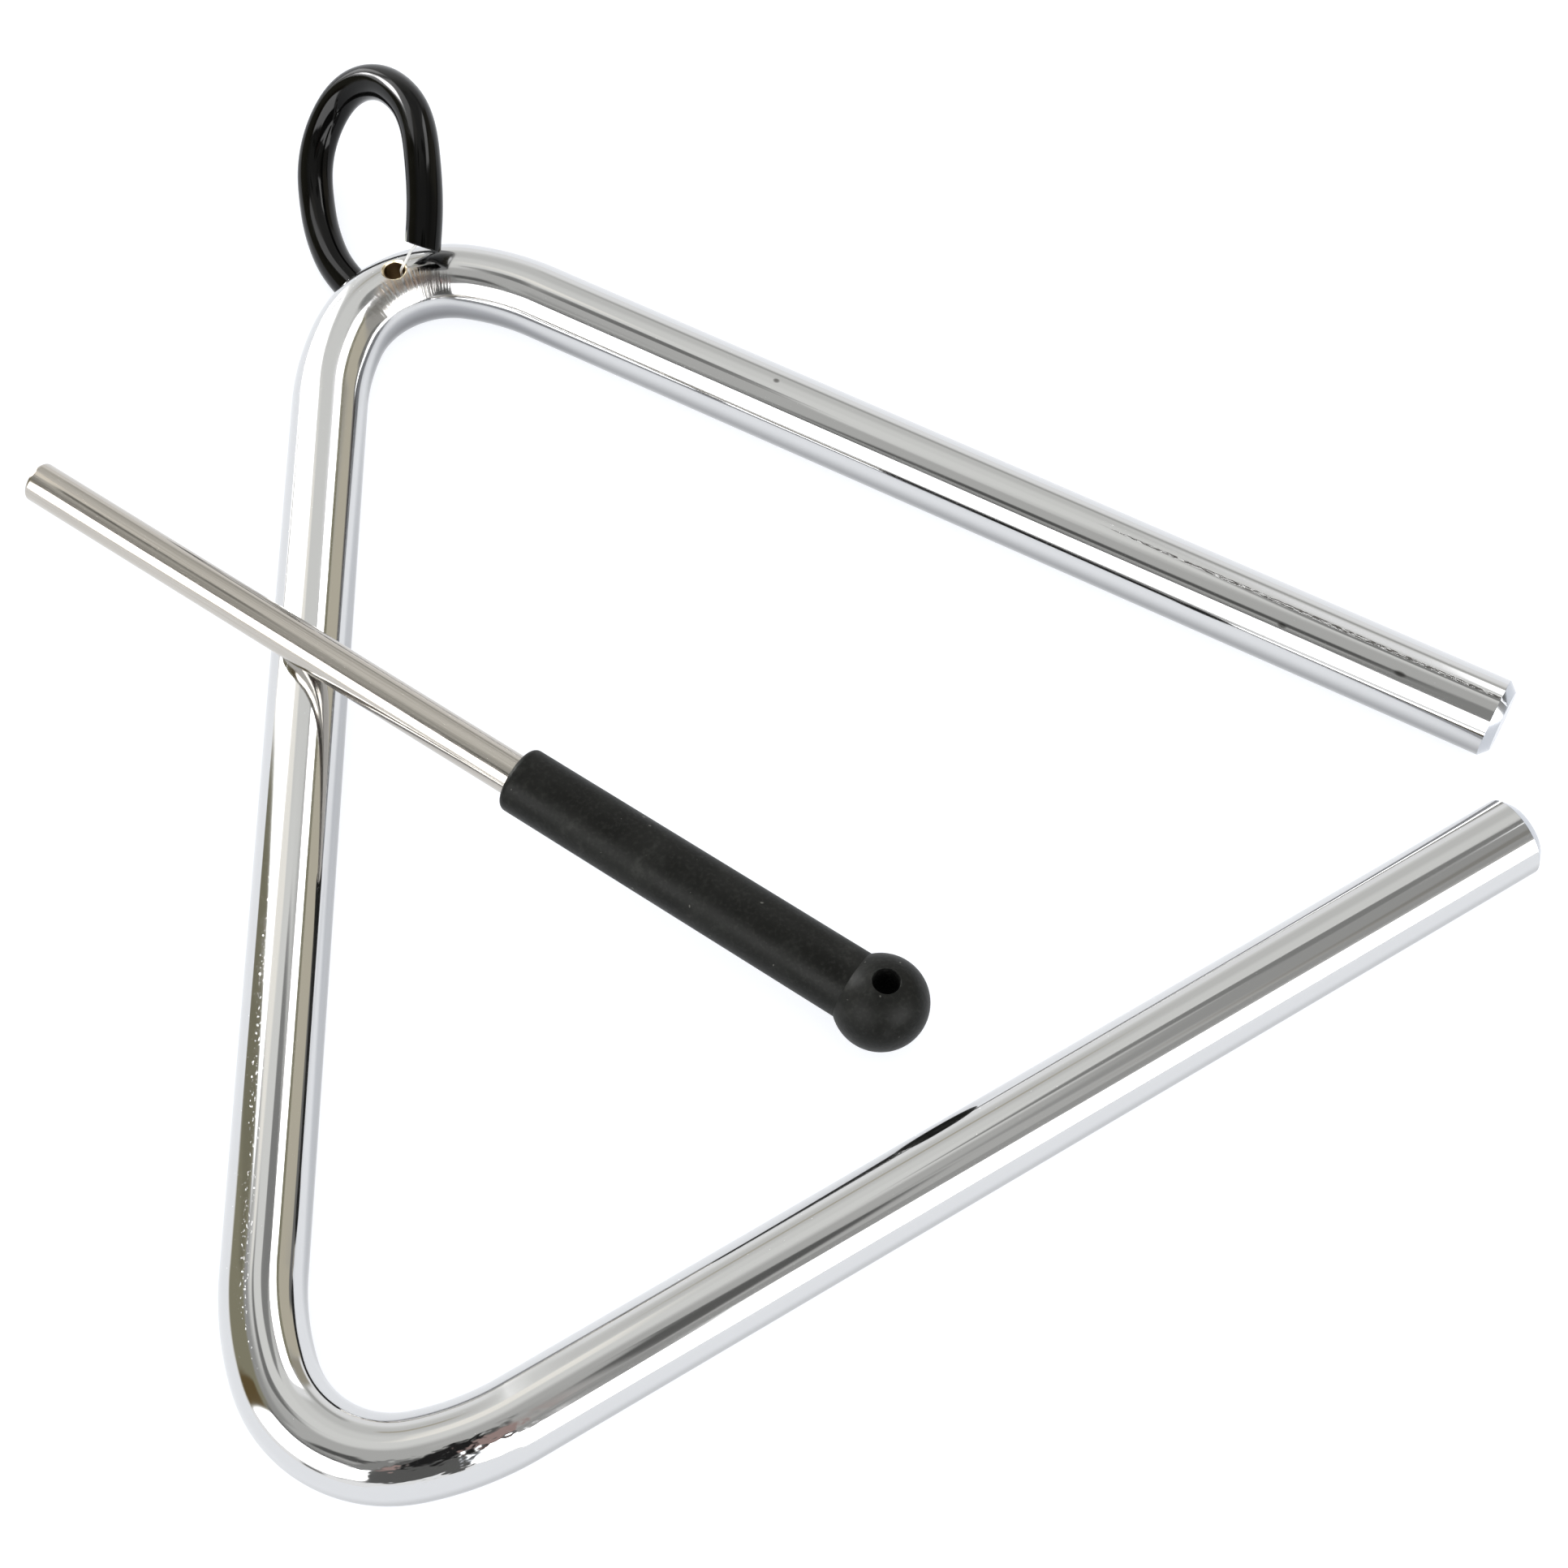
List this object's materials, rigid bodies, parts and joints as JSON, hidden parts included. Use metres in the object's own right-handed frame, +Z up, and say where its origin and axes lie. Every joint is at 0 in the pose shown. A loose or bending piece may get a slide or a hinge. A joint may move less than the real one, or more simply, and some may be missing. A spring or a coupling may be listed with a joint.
{
  "type": "triangle instrument",
  "caption": "Bent steel bar triangle with one open corner, a sleeved hanging loop through its top corner, and a straight beater with a rubber grip.",
  "frame": {"origin": "on the plane the triangle lies on, below the middle of the box of the triangle and beater", "axes": "+Z up out of the triangle's plane, +X along the lower arm towards the open corner, +Y towards the hanging corner"},
  "size_m": [0.1572, 0.1643, 0.0184],
  "materials": {
    "bar_chrome": "mirror-bright chrome plating over drawn bar, with faint bending marks and small pits",
    "rod_steel": "bright drawn steel with fine marks along its length",
    "grip_rubber": "matte moulded black rubber",
    "black_tube": "glossy flexible black plastic tube",
    "clear_nylon": "clear glossy nylon monofilament"
  },
  "bodies": {
    "triangle": {"triangle_bar": "bar_chrome"},
    "loop": {"suspension_line": "clear_nylon", "line_knot": "clear_nylon", "line_sleeve": "black_tube"},
    "beater": {"beater_rod": "rod_steel", "beater_grip": "grip_rubber"}
  },
  "joints": [
    {"name": "loop_swing", "type": "hinge", "parent": "triangle", "child": "loop", "pos_m": [-0.00128, 0.06538, 0.009], "axis": [0, 0, 1], "range_deg": [-60, 6]},
    {"name": "beater_lift", "type": "slide", "parent": "triangle", "child": "beater", "axis": [0, 0, 1], "range_m": [0, 0.06]}
  ]
}
